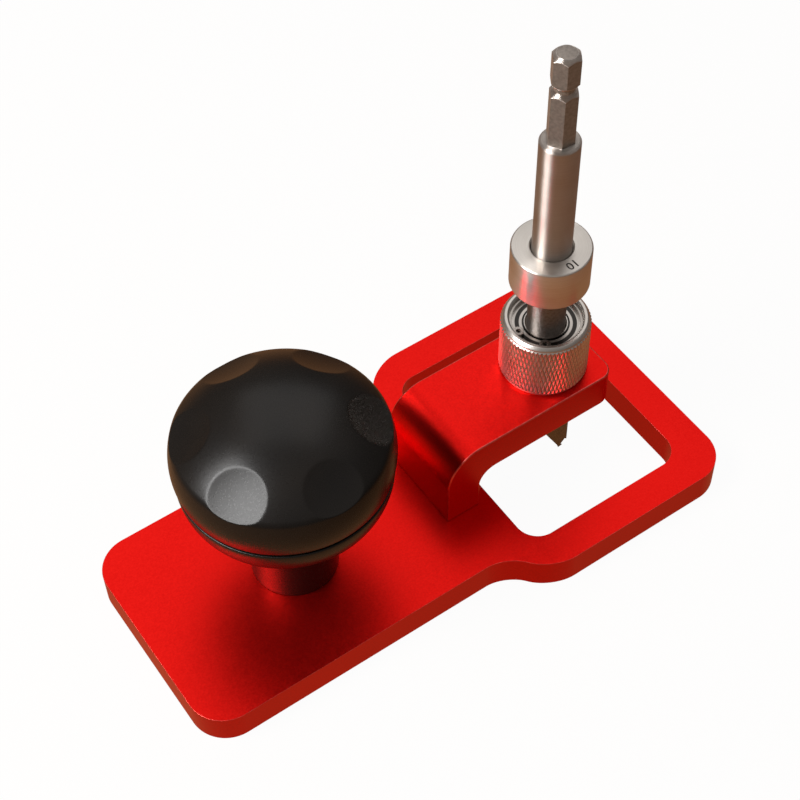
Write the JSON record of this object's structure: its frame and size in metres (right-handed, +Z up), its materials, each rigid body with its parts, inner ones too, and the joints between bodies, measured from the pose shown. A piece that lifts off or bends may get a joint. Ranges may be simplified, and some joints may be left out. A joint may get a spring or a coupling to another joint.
{
  "type": "vertical drilling jig",
  "caption": "Drill guide with a waisted base plate, a window, a bracket arm carrying a knurled bearing cup, a sliding and turning bit with a depth collar, and a palm knob.",
  "frame": {"origin": "middle of the base plate's underside, on the work's surface", "axes": "+X from the knob end to the window end, +Z up along the bit, +Y across the plate to the side away from the camera"},
  "size_m": [0.1572, 0.083, 0.1401],
  "materials": {
    "anodised_red": "fine satin, red anodised",
    "knob_black": "satin with a fine texture",
    "insert_brass": "turned",
    "fastener_steel": "black oxide",
    "cup_steel": "knurled, bright",
    "ring_steel": "stamped spring steel",
    "race_steel": "ground",
    "ball_steel": "polished",
    "cage_nylon": "moulded",
    "shield_steel": "pressed",
    "shaft_steel": "ground, with a dark shank",
    "blade_steel": "dark, with ground edges",
    "collar_steel": "turned"
  },
  "bodies": {
    "frame": {"base_plate": "anodised_red", "bridge_arm": "anodised_red", "arm_screws": "fastener_steel", "knob_cap": "knob_black", "knob_base": "knob_black", "knob_insert": "insert_brass", "knob_screw": "fastener_steel", "bearing_cup": "cup_steel", "retaining_ring": "ring_steel", "race_spacer": "race_steel", "upper_outer_race": "race_steel", "upper_shields": "shield_steel", "lower_outer_race": "race_steel", "lower_shields": "shield_steel"},
    "spindle": {"upper_inner_race": "race_steel", "lower_inner_race": "race_steel"},
    "ball_sets": {"upper_balls": "ball_steel", "upper_cage": "cage_nylon", "lower_balls": "ball_steel", "lower_cage": "cage_nylon"},
    "bit": {"bit_shaft": "shaft_steel", "cutter_blade": "blade_steel"},
    "collar": {"depth_collar": "collar_steel"},
    "clamp_screw": {"collar_screw": "fastener_steel"}
  },
  "joints": [
    {"name": "bit_spin", "type": "hinge", "parent": "frame", "child": "spindle", "pos_m": [0.0448, 0, 0.045], "axis": [0, 0, 1], "continuous": true},
    {"name": "ball_orbit", "type": "hinge", "parent": "frame", "child": "ball_sets", "pos_m": [0.0448, 0, 0.045], "axis": [0, 0, 1], "continuous": true},
    {"name": "bit_slide", "type": "slide", "parent": "spindle", "child": "bit", "axis": [0, 0, 1], "range_m": [-0.01365, 0.0053]},
    {"name": "collar_slide", "type": "slide", "parent": "bit", "child": "collar", "axis": [0, 0, 1], "range_m": [0, 0.03]},
    {"name": "clamp_turn", "type": "hinge", "parent": "collar", "child": "clamp_screw", "pos_m": [0.0448, 0.0076, 0.07245], "axis": [0, 1, 0], "range_deg": [0, 360]}
  ],
  "couplings": [
    {"joint": "ball_orbit", "follows": "bit_spin", "ratio": 0.4181}
  ]
}
